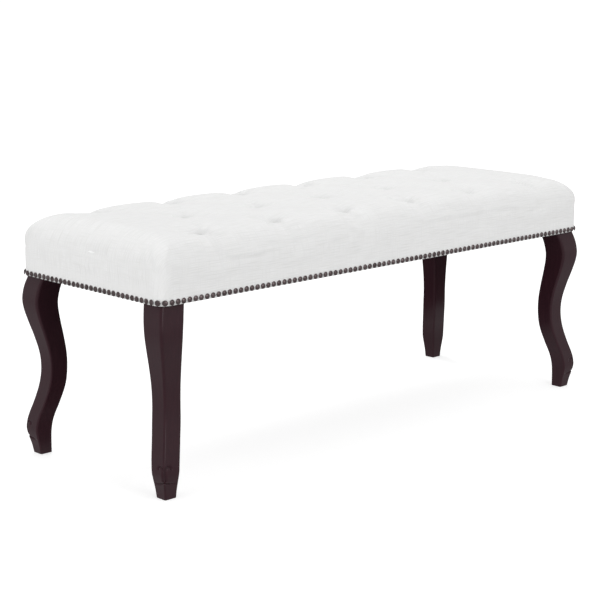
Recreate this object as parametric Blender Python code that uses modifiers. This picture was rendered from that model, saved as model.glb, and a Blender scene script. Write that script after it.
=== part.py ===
"""Long upholstered bench: a button-tufted seat on a timber frame, carried by four curved square legs.

Metres, +Z up. X runs along the seat, -Y is the front, and the origin is on the floor under the middle.
The frame is glued and screwed together, the cover is turned under it, and each leg hangs on one bolt.
"""
import math

import bmesh
import bpy
from mathutils import Matrix, Vector

# Seat, measured outside its cover
SEAT_LENGTH = 1.200
SEAT_DEPTH = 0.435
LEG_HEIGHT = 0.358        # floor to the underside of the seat
WALL_HEIGHT = 0.074       # the seat's upright sides
CROWN_HEIGHT = 0.047      # from the top of the sides to the top of the crown
CROWN_WIDTH = 0.060       # how far in from the edge the crown keeps rising
CORNER_RADIUS = 0.025

# Soft layers, outside to inside
COVER_THICKNESS = 0.0015
WADDING_THICKNESS = 0.006
FIT_GAP = 0.0003          # between pieces that touch
TURN_UNDER = 0.014        # cover folded under the frame
WADDING_HEM = 0.008       # bare strip of frame below the wadding

# Tufting: a diamond pattern of three rows
TUFT_END_MARGIN = 0.1355
TUFT_SIDE_MARGIN = 0.0662
TUFT_COLUMNS = 6
TUFT_DEPTH = 0.018
BUTTON_DIAMETER = 0.016
BUTTON_HEIGHT = 0.0065
BUTTON_CLEARANCE = 0.0025  # flat bottom of a tuft, past its button's edge
TWINE_DIAMETER = 0.002
TWINE_CLEARANCE = 0.0007
KNOT_DIAMETER = 0.010
KNOT_HEIGHT = 0.0025

# Timber frame
RAIL_THICKNESS = 0.020
DECK_THICKNESS = 0.012
DECK_DROP = 0.002         # the deck's top below the top of the seat's sides
FRAME_CORNER_EASE = 0.004  # the frame's corners are rounded a little more than the cover's
BLOCK_SIZE = 0.062
BLOCK_HEIGHT = 0.040
BLOCK_CHAMFER = 0.026
DUST_COVER_THICKNESS = 0.0006
DUST_COVER_CLEARANCE = 0.002

# Legs: stations down the leg, each a share of its height, the middle's inset and the side of the square
LEG_TOP_SIDE = 0.054
LEG_STATIONS = (
    (1.000, 0.0360, LEG_TOP_SIDE),
    (0.960, 0.0315, 0.0540),
    (0.920, 0.0282, 0.0538),
    (0.850, 0.0260, 0.0522),
    (0.770, 0.0295, 0.0488),
    (0.670, 0.0362, 0.0440),
    (0.570, 0.0415, 0.0402),
    (0.480, 0.0424, 0.0388),
    (0.390, 0.0392, 0.0392),
    (0.290, 0.0306, 0.0388),
    (0.200, 0.0215, 0.0385),
    (0.130, 0.0184, 0.0372),
    (0.060, 0.0208, 0.0305),
    (0.000, 0.0225, 0.0265),
)
LEG_LEVELS = 22
ARRIS_CHAMFER = 0.0042

# What holds the legs
BOLT_DIAMETER = 0.008
BOLT_IN_LEG = 0.040
BOLT_PAST_NUT = 0.003
BORE_GAP = 0.0004
OVERCUT = 0.002           # how far a drill runs past the surface it enters by
NUT_WALL = 0.0012
NUT_BARREL_LENGTH = 0.009
NUT_FLANGE_WIDTH = 0.0043
NUT_FLANGE_THICKNESS = 0.0015
NUT_CLEARANCE = 0.0024    # tee nut's flange to the rails
DOWEL_DIAMETER = 0.006
DOWEL_CLEARANCE = 0.0023  # dowel to the turned-under cover
DOWEL_IN_LEG = 0.020
DOWEL_IN_RAIL = 0.015
GLIDE_DIAMETER = 0.018
GLIDE_HEIGHT = 0.0015
GLIDE_PIN_DIAMETER = 0.0025
GLIDE_PIN_LENGTH = 0.015

# Nail trim: domed heads pressed in one metal strip a side
NAIL_PITCH = 0.0135
NAIL_HEAD_DIAMETER = 0.011
NAIL_HEAD_HEIGHT = 0.0024
NAIL_STRIP_THICKNESS = 0.0005
NAIL_ROW_HEIGHT = 0.0078  # row's middle above the seat's underside

HALF_LENGTH = SEAT_LENGTH / 2
HALF_DEPTH = SEAT_DEPTH / 2
WADDING_OUTSIDE = COVER_THICKNESS + FIT_GAP
FRAME_OUTSIDE = WADDING_OUTSIDE + WADDING_THICKNESS + FIT_GAP
FRAME_RADIUS = CORNER_RADIUS - FRAME_OUTSIDE + FRAME_CORNER_EASE
RAIL_BOTTOM = LEG_HEIGHT + COVER_THICKNESS + FIT_GAP
WALL_TOP = LEG_HEIGHT + WALL_HEIGHT
CROWN_TOP = WALL_TOP + CROWN_HEIGHT
DECK_TOP = WALL_TOP - DECK_DROP
DECK_BOTTOM = DECK_TOP - DECK_THICKNESS
RAIL_TOP = DECK_BOTTOM - FIT_GAP
TUFT_BOTTOM = CROWN_TOP - TUFT_DEPTH
TUFT_SEAT = BUTTON_DIAMETER + 2 * BUTTON_CLEARANCE
TWINE_HOLE = TWINE_DIAMETER + 2 * TWINE_CLEARANCE
TUFT_PITCH = (SEAT_LENGTH - 2 * TUFT_END_MARGIN) / (TUFT_COLUMNS - 1)
TUFT_ROW = HALF_DEPTH - TUFT_SIDE_MARGIN
LEG_TOP = LEG_HEIGHT - FIT_GAP
LEG_FOOT = GLIDE_HEIGHT + FIT_GAP
BLOCK_TOP = RAIL_BOTTOM + BLOCK_HEIGHT
NUT_BARREL_RADIUS = BOLT_DIAMETER / 2 + NUT_WALL
NUT_FLANGE_RADIUS = NUT_BARREL_RADIUS + NUT_FLANGE_WIDTH
BOLT_INSET = FRAME_OUTSIDE + RAIL_THICKNESS + NUT_FLANGE_RADIUS + NUT_CLEARANCE
DOWEL_ROOM = CORNER_RADIUS - TURN_UNDER - DOWEL_DIAMETER / 2 - DOWEL_CLEARANCE
DOWEL_INSET = CORNER_RADIUS - DOWEL_ROOM / math.sqrt(2)
CORNERS = {"front_left": (-1, -1), "front_right": (1, -1), "back_left": (-1, 1), "back_right": (1, 1)}


def material(name, color, roughness, metallic=0.0):
    """A plain Principled material."""
    finish = bpy.data.materials.get(name) or bpy.data.materials.new(name)
    finish.use_nodes = True
    shader = finish.node_tree.nodes["Principled BSDF"]
    shader.inputs["Base Color"].default_value = (*color, 1.0)
    shader.inputs["Roughness"].default_value = roughness
    shader.inputs["Metallic"].default_value = metallic
    finish.diffuse_color = (*color, 1.0)
    return finish


def add_object(name, bm, finish, collection, location=(0, 0, 0)):
    """A named object made from a bmesh, with its material."""
    mesh = bpy.data.meshes.new(name)
    bm.to_mesh(mesh)
    bm.free()
    mesh.materials.append(finish)
    obj = bpy.data.objects.new(name, mesh)
    obj.location = location
    collection.objects.link(obj)
    return obj


def smooth(obj, angle=35):
    """Smooth shading with crisp edges past the angle, in degrees."""
    obj.data.shade_smooth()
    obj.data.set_sharp_from_angle(angle=math.radians(angle))


def block(low, high):
    """A box primitive between two corners."""
    bm = bmesh.new()
    bmesh.ops.create_cube(bm, size=1.0)
    low = Vector(low)
    high = Vector(high)
    for vert in bm.verts:
        vert.co = Vector(low[i] + (vert.co[i] + 0.5) * (high[i] - low[i]) for i in range(3))
    return bm


def round_upright_edges(bm, radius, chosen, segments=3):
    """Bevels the upright edges whose middle the chosen function accepts."""
    edges = []
    for edge in bm.edges:
        first, second = (vert.co for vert in edge.verts)
        upright = abs(first.x - second.x) < 1e-6 and abs(first.y - second.y) < 1e-6
        if upright and chosen((first + second) / 2):
            edges.append(edge)
    bmesh.ops.bevel(bm, geom=edges, offset=radius, segments=segments, profile=0.5, affect="EDGES")


def turned(name, profile, steps, finish, collection, location):
    """A turned piece: its profile, given from the top down its outer side, revolved by a Screw modifier."""
    bm = bmesh.new()
    verts = [bm.verts.new((radius, 0, height)) for radius, height in profile]
    for first, second in zip(verts, verts[1:]):
        bm.edges.new((first, second))
    if profile[0][0] > 0 and profile[-1][0] > 0:
        bm.edges.new((verts[-1], verts[0]))
    obj = add_object(name, bm, finish, collection, location)
    screw = obj.modifiers.new("turn", "SCREW")
    screw.steps = steps
    screw.render_steps = steps
    screw.use_merge_vertices = True
    screw.merge_threshold = 0.00001
    return obj


def drill(obj, places, radius, low, high, cutters, sides=8):
    """Cuts round holes along Z at the (x, y) places, between the heights low and high."""
    bm = bmesh.new()
    corner_radius = radius / math.cos(math.pi / sides)  # the hole's flats lie at its radius
    for x, y in places:
        matrix = Matrix.Translation((x, y, (low + high) / 2))
        bmesh.ops.create_cone(bm, cap_ends=True, segments=sides, radius1=corner_radius,
                              radius2=corner_radius, depth=high - low, matrix=matrix)
    mesh = bpy.data.meshes.new(f"{obj.name}_drill")
    bm.to_mesh(mesh)
    bm.free()
    cutter = bpy.data.objects.new(mesh.name, mesh)
    cutter.hide_render = True
    cutter.display_type = "WIRE"
    cutters.objects.link(cutter)
    cut = obj.modifiers.new("drill", "BOOLEAN")
    cut.operation = "DIFFERENCE"
    cut.solver = "EXACT"
    cut.object = cutter


def tuft_places():
    """Row by row from the front: six tufts, five between them, six."""
    places = []
    for row, y in enumerate((-TUFT_ROW, 0.0, TUFT_ROW)):
        count = TUFT_COLUMNS - row % 2
        for column in range(count):
            places.append(((column - (count - 1) / 2) * TUFT_PITCH, y))
    return places


def edge_lines(half):
    """Grid lines near a side of the seat: its edge, the corner's arc and the roll of the crown."""
    return [half, half - 0.32 * CORNER_RADIUS, half - CORNER_RADIUS]


def grid_lines(half, centres):
    """All grid lines of one direction: both sides' edge lines, and two lines round each row of tufts."""
    near = edge_lines(half)
    lines = near + [-line for line in near]
    for centre in centres:
        lines += [centre - TUFT_SEAT / 2, centre + TUFT_SEAT / 2]
    return sorted(lines)


def crown_height(x, y):
    """Height of the untufted crown: it rises from the sides as a quarter ellipse."""
    inward = min(HALF_LENGTH - abs(x), HALF_DEPTH - abs(y)) / CROWN_WIDTH
    rise = math.sqrt(1 - (1 - min(max(inward, 0.0), 1.0)) ** 2)
    return WALL_TOP + CROWN_HEIGHT * rise


def round_corner(x, y):
    """Moves a point of the seat's square corner zone onto the rounded corner."""
    over_x = abs(x) - (HALF_LENGTH - CORNER_RADIUS)
    over_y = abs(y) - (HALF_DEPTH - CORNER_RADIUS)
    if min(over_x, over_y) <= 0:
        return x, y
    shrink = max(over_x, over_y) / math.hypot(over_x, over_y)
    new_x = HALF_LENGTH - CORNER_RADIUS + over_x * shrink
    new_y = HALF_DEPTH - CORNER_RADIUS + over_y * shrink
    return math.copysign(new_x, x), math.copysign(new_y, y)


def rim_normal(point):
    """Outward level direction at a point on the seat's rim."""
    over_x = abs(point.x) - (HALF_LENGTH - CORNER_RADIUS)
    over_y = abs(point.y) - (HALF_DEPTH - CORNER_RADIUS)
    normal = Vector((math.copysign(max(over_x, 0), point.x), math.copysign(max(over_y, 0), point.y), 0))
    return normal.normalized()


def seat_skin(wall_bottom, turn_under=0.0):
    """The seat's outer surface: tufted crown and sides down to wall_bottom, open underneath.

    It is triangulated here, so that every layer offset from it has the same faces.
    """
    half_columns = range(2 * TUFT_COLUMNS - 1)
    columns = [(i - (TUFT_COLUMNS - 1)) * TUFT_PITCH / 2 for i in half_columns]
    lines_x = grid_lines(HALF_LENGTH, columns)
    lines_y = grid_lines(HALF_DEPTH, (-TUFT_ROW, 0.0, TUFT_ROW))
    tufts = tuft_places()
    bm = bmesh.new()
    bmesh.ops.create_grid(bm, x_segments=len(lines_x) - 1, y_segments=len(lines_y) - 1, size=0.5)
    for vert in bm.verts:
        x = lines_x[round((vert.co.x + 0.5) * (len(lines_x) - 1))]
        y = lines_y[round((vert.co.y + 0.5) * (len(lines_y) - 1))]
        height = crown_height(x, y)
        reach = TUFT_SEAT / 2 + 1e-6
        if any(abs(x - tuft_x) < reach and abs(y - tuft_y) < reach for tuft_x, tuft_y in tufts):
            height = TUFT_BOTTOM
        vert.co = (*round_corner(x, y), height)
    levels = [WALL_TOP - 0.25 * WALL_HEIGHT, wall_bottom]
    for level in levels:
        rim = [edge for edge in bm.edges if edge.is_boundary]
        grown = bmesh.ops.extrude_edge_only(bm, edges=rim)["geom"]
        for vert in grown:
            if isinstance(vert, bmesh.types.BMVert):
                vert.co.z = level
    if turn_under:
        rim = [edge for edge in bm.edges if edge.is_boundary]
        grown = bmesh.ops.extrude_edge_only(bm, edges=rim)["geom"]
        for vert in grown:
            if isinstance(vert, bmesh.types.BMVert):
                vert.co -= rim_normal(vert.co) * turn_under
    bmesh.ops.triangulate(bm, faces=bm.faces[:], quad_method="FIXED")
    bmesh.ops.recalc_face_normals(bm, faces=bm.faces[:])
    return bm


def add_layer(obj, depth, thickness):
    """Solidify that puts a layer of the seat between two depths below the seat's outer surface."""
    solid = obj.modifiers.new("layer", "SOLIDIFY")
    solid.thickness = thickness
    solid.offset = -(2 * depth / thickness + 1)
    solid.use_even_offset = False


def make_cover(finish, collection, cutters):
    """Fitted linen cover, turned under the frame, with a stitch hole at each tuft."""
    obj = add_object("seat_cover", seat_skin(LEG_HEIGHT, TURN_UNDER), finish, collection)
    add_layer(obj, 0.0, COVER_THICKNESS)
    low = TUFT_BOTTOM - COVER_THICKNESS - FIT_GAP
    drill(obj, tuft_places(), TWINE_HOLE / 2, low, TUFT_BOTTOM + FIT_GAP, cutters, sides=6)
    smooth(obj, 60)


def make_wadding(finish, collection, cutters):
    """Soft wadding between the cover and the foam and frame."""
    obj = add_object("wadding", seat_skin(LEG_HEIGHT + WADDING_HEM), finish, collection)
    add_layer(obj, WADDING_OUTSIDE, WADDING_THICKNESS)
    drill(obj, tuft_places(), TWINE_HOLE / 2, TUFT_BOTTOM - FRAME_OUTSIDE, TUFT_BOTTOM, cutters, sides=6)
    smooth(obj, 60)


def make_foam(finish, collection, cutters):
    """Foam pad on the deck, with a hole for the twine under each tuft."""
    bm = seat_skin(LEG_HEIGHT)
    bm.normal_update()
    inward = {vert: vert.normal * FRAME_OUTSIDE for vert in bm.verts}
    for vert, step in inward.items():
        vert.co -= step
    cut_height = DECK_TOP + FIT_GAP
    whole = bm.verts[:] + bm.edges[:] + bm.faces[:]
    bmesh.ops.bisect_plane(bm, geom=whole, plane_co=(0, 0, cut_height), plane_no=(0, 0, 1), clear_inner=True)
    rim = [edge for edge in bm.edges if edge.is_boundary]
    bmesh.ops.contextual_create(bm, geom=rim)
    bmesh.ops.recalc_face_normals(bm, faces=bm.faces[:])
    obj = add_object("foam_pad", bm, finish, collection)
    drill(obj, tuft_places(), TWINE_HOLE / 2, DECK_TOP, TUFT_BOTTOM, cutters, sides=6)
    smooth(obj, 60)


def make_deck(finish, collection, cutters):
    """Plywood deck on the rails, drilled for the twine."""
    reach_x = HALF_LENGTH - FRAME_OUTSIDE
    reach_y = HALF_DEPTH - FRAME_OUTSIDE
    bm = block((-reach_x, -reach_y, DECK_BOTTOM), (reach_x, reach_y, DECK_TOP))
    round_upright_edges(bm, FRAME_RADIUS, lambda middle: True)
    obj = add_object("seat_deck", bm, finish, collection)
    drill(obj, tuft_places(), TWINE_HOLE / 2, DECK_BOTTOM - OVERCUT, DECK_TOP + OVERCUT, cutters, sides=6)
    smooth(obj)


def make_buttons(finish, collection):
    """Covered buttons, each with its twine through the seat and a washer knot under the deck."""
    radius = BUTTON_DIAMETER / 2
    twine = TWINE_DIAMETER / 2
    knot = KNOT_DIAMETER / 2
    base = TUFT_BOTTOM + FIT_GAP
    knot_top = DECK_BOTTOM - FIT_GAP
    profile = (
        (0.0, base + BUTTON_HEIGHT),
        (0.62 * radius, base + 0.80 * BUTTON_HEIGHT),
        (radius, base + 0.30 * BUTTON_HEIGHT),
        (0.80 * radius, base),
        (twine, base),
        (twine, knot_top),
        (knot, knot_top),
        (knot, knot_top - KNOT_HEIGHT),
        (0.0, knot_top - KNOT_HEIGHT),
    )
    for number, (x, y) in enumerate(tuft_places(), 1):
        button = turned(f"tuft_button_{number:02d}", profile, 8, finish, collection, (x, y, 0))
        smooth(button, 50)


def make_rails(finish, collection, cutters):
    """Front and back rails run the full length, and the side and cross rails fit between them."""
    reach_x = HALF_LENGTH - FRAME_OUTSIDE
    reach_y = HALF_DEPTH - FRAME_OUTSIDE
    dowels = [corner_place(corner, DOWEL_INSET) for corner in CORNERS.values()]
    for name, side in (("rail_front", -1), ("rail_back", 1)):
        outer = side * reach_y
        inner = side * (reach_y - RAIL_THICKNESS)
        bm = block((-reach_x, min(outer, inner), RAIL_BOTTOM), (reach_x, max(outer, inner), RAIL_TOP))
        radius = min(FRAME_RADIUS, 0.98 * RAIL_THICKNESS)
        round_upright_edges(bm, radius, lambda middle, face=outer: abs(middle.y - face) < 1e-5)
        rail = add_object(name, bm, finish, collection)
        places = [(x, y) for x, y in dowels if y * side > 0]
        bore = DOWEL_DIAMETER / 2 + BORE_GAP
        drill(rail, places, bore, RAIL_BOTTOM - OVERCUT, RAIL_BOTTOM + DOWEL_IN_RAIL, cutters)
        smooth(rail)
    between = reach_y - RAIL_THICKNESS - FIT_GAP
    for name, side in (("rail_left", -1), ("rail_right", 1)):
        outer = side * reach_x
        inner = side * (reach_x - RAIL_THICKNESS)
        low = (min(outer, inner), -between, RAIL_BOTTOM)
        add_object(name, block(low, (max(outer, inner), between, RAIL_TOP)), finish, collection)
    for name, side in (("cross_rail_left", -1), ("cross_rail_right", 1)):
        middle = side * 1.25 * TUFT_PITCH
        low = (middle - RAIL_THICKNESS / 2, -between, RAIL_BOTTOM)
        add_object(name, block(low, (middle + RAIL_THICKNESS / 2, between, RAIL_TOP)), finish, collection)


def corner_place(corner, inset):
    """A point in a corner of the seat, the same distance in from both of its outer faces."""
    side_x, side_y = corner
    return side_x * (HALF_LENGTH - inset), side_y * (HALF_DEPTH - inset)


def make_corner_blocks(finish, collection, cutters):
    """Blocks glued in the frame's corners, bored for the leg bolts and chamfered inside."""
    start = FRAME_OUTSIDE + RAIL_THICKNESS + FIT_GAP
    for name, corner in CORNERS.items():
        near = corner_place(corner, start)
        far = corner_place(corner, start + BLOCK_SIZE)
        low = (min(near[0], far[0]), min(near[1], far[1]), RAIL_BOTTOM)
        high = (max(near[0], far[0]), max(near[1], far[1]), BLOCK_TOP)
        bm = block(low, high)
        inner = Vector((far[0], far[1], 0))
        round_upright_edges(bm, BLOCK_CHAMFER, lambda m, i=inner: (m.xy - i.xy).length < 1e-5, segments=1)
        obj = add_object(f"corner_block_{name}", bm, finish, collection)
        place = corner_place(corner, BOLT_INSET)
        radius = NUT_BARREL_RADIUS + BORE_GAP
        drill(obj, [place], radius, RAIL_BOTTOM - OVERCUT, BLOCK_TOP + OVERCUT, cutters)


def make_bolts(finish, collection):
    """Hanger bolts, each screwed into a leg and held by a tee nut on its corner block."""
    radius = BOLT_DIAMETER / 2
    top = BLOCK_TOP + FIT_GAP + NUT_FLANGE_THICKNESS + BOLT_PAST_NUT
    bottom = LEG_TOP - BOLT_IN_LEG + OVERCUT
    profile = (
        (0.0, top),
        (0.8 * radius, top),
        (radius, top - 0.2 * radius),
        (radius, bottom + radius),
        (0.0, bottom),
    )
    for name, corner in CORNERS.items():
        place = (*corner_place(corner, BOLT_INSET), 0)
        smooth(turned(f"hanger_bolt_{name}", profile, 10, finish, collection, place))


def make_tee_nuts(finish, collection):
    """Tee nuts: a flange on top of the corner block and a threaded barrel down in its bore."""
    bore = BOLT_DIAMETER / 2 + BORE_GAP
    barrel = NUT_BARREL_RADIUS
    flange = NUT_FLANGE_RADIUS
    base = BLOCK_TOP + FIT_GAP
    profile = (
        (bore, base + NUT_FLANGE_THICKNESS),
        (flange, base + NUT_FLANGE_THICKNESS),
        (flange, base),
        (barrel, base),
        (barrel, base - NUT_BARREL_LENGTH),
        (bore, base - NUT_BARREL_LENGTH),
    )
    for name, corner in CORNERS.items():
        place = (*corner_place(corner, BOLT_INSET), 0)
        smooth(turned(f"tee_nut_{name}", profile, 10, finish, collection, place))


def make_dowels(finish, collection):
    """Dowels that keep each leg square to the frame."""
    radius = DOWEL_DIAMETER / 2
    top = RAIL_BOTTOM + DOWEL_IN_RAIL - FIT_GAP
    bottom = LEG_TOP - DOWEL_IN_LEG + FIT_GAP
    profile = (
        (0.0, top),
        (0.75 * radius, top),
        (radius, top - 0.4 * radius),
        (radius, bottom + 0.4 * radius),
        (0.75 * radius, bottom),
        (0.0, bottom),
    )
    for name, corner in CORNERS.items():
        place = (*corner_place(corner, DOWEL_INSET), 0)
        smooth(turned(f"dowel_{name}", profile, 8, finish, collection, place))


def leg_section(share):
    """Inset of the leg's middle and side of its square, at a share of its height.

    Both run through the stations as smooth cubic curves.
    """
    stations = sorted(LEG_STATIONS)
    last = len(stations) - 1
    index = min(max(i for i, station in enumerate(stations) if station[0] <= share + 1e-9), last - 1)
    start, end = stations[index], stations[index + 1]
    before = stations[max(index - 1, 0)]
    after = stations[min(index + 2, last)]
    span = end[0] - start[0]
    part = (share - start[0]) / span
    values = []
    for axis in (1, 2):
        slope_start = (end[axis] - before[axis]) / (end[0] - before[0]) * span
        slope_end = (after[axis] - start[axis]) / (after[0] - start[0]) * span
        values.append((2 * part ** 3 - 3 * part ** 2 + 1) * start[axis]
                      + (part ** 3 - 2 * part ** 2 + part) * slope_start
                      + (3 * part ** 2 - 2 * part ** 3) * end[axis]
                      + (part ** 3 - part ** 2) * slope_end)
    return values


def make_legs(finish, collection, cutters):
    """Square legs on an S curve that runs along the seat's diagonals, lofted from chamfered squares."""
    for name, corner in CORNERS.items():
        side_x, side_y = corner
        bm = bmesh.new()
        rings = []
        for level in range(LEG_LEVELS + 1):
            share = level / LEG_LEVELS
            inset, side = leg_section(share)
            x, y = corner_place(corner, inset)
            z = LEG_FOOT + share * (LEG_TOP - LEG_FOOT)
            half = side / 2
            flat = half - ARRIS_CHAMFER
            outline = ((half, flat), (flat, half), (-flat, half), (-half, flat),
                       (-half, -flat), (-flat, -half), (flat, -half), (half, -flat))
            rings.append([bm.verts.new((x + u, y + v, z)) for u, v in outline])
        for lower, upper in zip(rings, rings[1:]):
            for i in range(8):
                following = (i + 1) % 8
                bm.faces.new((lower[i], lower[following], upper[following], upper[i]))
        bm.faces.new(rings[0][::-1])
        bm.faces.new(rings[-1])
        leg = add_object(f"leg_{name}", bm, finish, collection)
        for inset, diameter, depth in (
            (BOLT_INSET, BOLT_DIAMETER, BOLT_IN_LEG),
            (DOWEL_INSET, DOWEL_DIAMETER, DOWEL_IN_LEG),
        ):
            bore = diameter / 2 + BORE_GAP
            drill(leg, [corner_place(corner, inset)], bore, LEG_TOP - depth, LEG_TOP + OVERCUT, cutters)
        foot = corner_place(corner, leg_section(0.0)[0])
        drill(leg, [foot], GLIDE_PIN_DIAMETER / 2 + BORE_GAP, 0.0, LEG_FOOT + GLIDE_PIN_LENGTH, cutters)
        smooth(leg, 30)


def make_glides(finish, collection):
    """Nylon glides with a pin driven up into each foot."""
    pin = GLIDE_PIN_DIAMETER / 2
    radius = GLIDE_DIAMETER / 2
    profile = (
        (0.0, GLIDE_HEIGHT + GLIDE_PIN_LENGTH),
        (pin, GLIDE_HEIGHT + GLIDE_PIN_LENGTH - pin),
        (pin, GLIDE_HEIGHT),
        (radius, GLIDE_HEIGHT),
        (radius, 0.4 * GLIDE_HEIGHT),
        (0.85 * radius, 0.0),
        (0.0, 0.0),
    )
    for name, corner in CORNERS.items():
        place = corner_place(corner, leg_section(0.0)[0])
        glide = turned(f"foot_glide_{name}", profile, 12, finish, collection, (*place, 0))
        smooth(glide)


def make_dust_cover(finish, collection):
    """Cambric sheet under the frame, inside the cover's hem and trimmed round the leg tops."""
    inset = TURN_UNDER + DUST_COVER_CLEARANCE
    reach_x = HALF_LENGTH - inset
    reach_y = HALF_DEPTH - inset
    notch_x = HALF_LENGTH - LEG_TOP_SIDE - DUST_COVER_CLEARANCE
    notch_y = HALF_DEPTH - LEG_TOP_SIDE - DUST_COVER_CLEARANCE
    quarter = ((reach_x, notch_y), (notch_x, notch_y), (notch_x, reach_y))
    outline = list(quarter)
    outline += [(-x, y) for x, y in reversed(quarter)]
    outline += [(-x, -y) for x, y in quarter]
    outline += [(x, -y) for x, y in reversed(quarter)]
    curve = bpy.data.curves.new("dust_cover", "CURVE")
    curve.dimensions = "2D"
    curve.fill_mode = "BOTH"
    curve.extrude = DUST_COVER_THICKNESS / 2
    spline = curve.splines.new("POLY")
    spline.points.add(len(outline) - 1)
    for point, (x, y) in zip(spline.points, outline):
        point.co = (x, y, 0, 1)
    spline.use_cyclic_u = True
    curve.materials.append(finish)
    obj = bpy.data.objects.new("dust_cover", curve)
    obj.location.z = RAIL_BOTTOM - FIT_GAP - DUST_COVER_THICKNESS / 2
    collection.objects.link(obj)


def rim_path(half_run, half_across, distance):
    """A point and the outward direction on the seat's rim, at a distance along one side from its middle.

    The side runs along +X facing -Y, and goes on round its two corners.
    """
    straight = half_run - CORNER_RADIUS
    if abs(distance) <= straight:
        return Vector((distance, -half_across)), Vector((0, -1))
    angle = (abs(distance) - straight) / CORNER_RADIUS
    normal = Vector((math.copysign(math.sin(angle), distance), -math.cos(angle)))
    centre = Vector((math.copysign(straight, distance), -half_across + CORNER_RADIUS))
    return centre + normal * CORNER_RADIUS, normal


def nail_strip(half_run, half_across):
    """One side's strip of nail heads: six-sided domes in a row, joined by narrow bridges."""
    run = 2 * (half_run - CORNER_RADIUS) + CORNER_RADIUS * math.pi / 2
    count = round(run / NAIL_PITCH)
    pitch = run / count
    radius = NAIL_HEAD_DIAMETER / 2
    stand_off = FIT_GAP + NAIL_STRIP_THICKNESS
    middle = LEG_HEIGHT + NAIL_ROW_HEIGHT
    bm = bmesh.new()
    previous = None
    for number in range(count):
        point, normal = rim_path(half_run, half_across, (number - (count - 1) / 2) * pitch)
        along = Vector((-normal.y, normal.x, 0))
        outward = Vector((normal.x, normal.y, 0))
        centre = Vector((point.x, point.y, middle)) + outward * stand_off
        ring = []
        for corner in range(6):
            angle = math.radians(30 + 60 * corner)
            spoke = along * math.cos(angle) + Vector((0, 0, math.sin(angle)))
            ring.append(bm.verts.new(centre + spoke * radius))
        tip = bm.verts.new(centre + outward * NAIL_HEAD_HEIGHT)
        for corner in range(6):
            bm.faces.new((ring[corner], ring[(corner + 1) % 6], tip))
        if previous:
            bm.faces.new((previous[5], ring[3], ring[2], previous[0]))
        previous = ring
    bmesh.ops.recalc_face_normals(bm, faces=bm.faces[:])
    return bm


def make_nail_strips(finish, collection):
    """Nail trim on the four sides, just above the cover's lower edge."""
    sides = (
        ("nail_trim_front", HALF_LENGTH, HALF_DEPTH, 0),
        ("nail_trim_right", HALF_DEPTH, HALF_LENGTH, 90),
        ("nail_trim_back", HALF_LENGTH, HALF_DEPTH, 180),
        ("nail_trim_left", HALF_DEPTH, HALF_LENGTH, 270),
    )
    for name, half_run, half_across, turn in sides:
        bm = nail_strip(half_run, half_across)
        turned_side = Matrix.Rotation(math.radians(turn), 3, "Z")
        bmesh.ops.rotate(bm, verts=bm.verts[:], cent=(0, 0, 0), matrix=turned_side)
        obj = add_object(name, bm, finish, collection)
        solid = obj.modifiers.new("sheet", "SOLIDIFY")
        solid.thickness = NAIL_STRIP_THICKNESS
        solid.offset = -1
        smooth(obj, 50)


def main():
    for obj in list(bpy.data.objects):
        bpy.data.objects.remove(obj)
    parts = bpy.data.collections.new("upholstered_bench")
    cutters = bpy.data.collections.new("cutters")
    bpy.context.scene.collection.children.link(parts)
    bpy.context.scene.collection.children.link(cutters)

    linen = material("linen", (0.80, 0.80, 0.79), 0.90)
    wadding = material("polyester wadding", (0.90, 0.90, 0.90), 0.95)
    foam = material("seat foam", (0.85, 0.78, 0.55), 0.90)
    timber = material("frame timber", (0.62, 0.45, 0.27), 0.70)
    plywood = material("plywood", (0.68, 0.52, 0.33), 0.70)
    espresso = material("espresso stained wood", (0.040, 0.022, 0.022), 0.35)
    steel = material("zinc plated steel", (0.62, 0.62, 0.60), 0.35, 1.0)
    bronze = material("antique bronze", (0.16, 0.11, 0.08), 0.35, 1.0)
    cambric = material("black cambric", (0.02, 0.02, 0.02), 0.95)
    nylon = material("nylon", (0.05, 0.05, 0.05), 0.50)

    make_cover(linen, parts, cutters)
    make_wadding(wadding, parts, cutters)
    make_foam(foam, parts, cutters)
    make_deck(plywood, parts, cutters)
    make_buttons(linen, parts)
    make_rails(timber, parts, cutters)
    make_corner_blocks(timber, parts, cutters)
    make_bolts(steel, parts)
    make_tee_nuts(steel, parts)
    make_dowels(timber, parts)
    make_legs(espresso, parts, cutters)
    make_glides(nylon, parts)
    make_dust_cover(cambric, parts)
    make_nail_strips(bronze, parts)


main()
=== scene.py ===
"""A long button-tufted bench: linen over foam on a timber frame, nail trim, and four carved legs.

The sections follow the bench as it is put together, from the frame up to the cover and down to the feet.
Lengths are in metres.
"""
import math

import bpy
import numpy as np
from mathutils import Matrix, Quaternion, Vector


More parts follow.
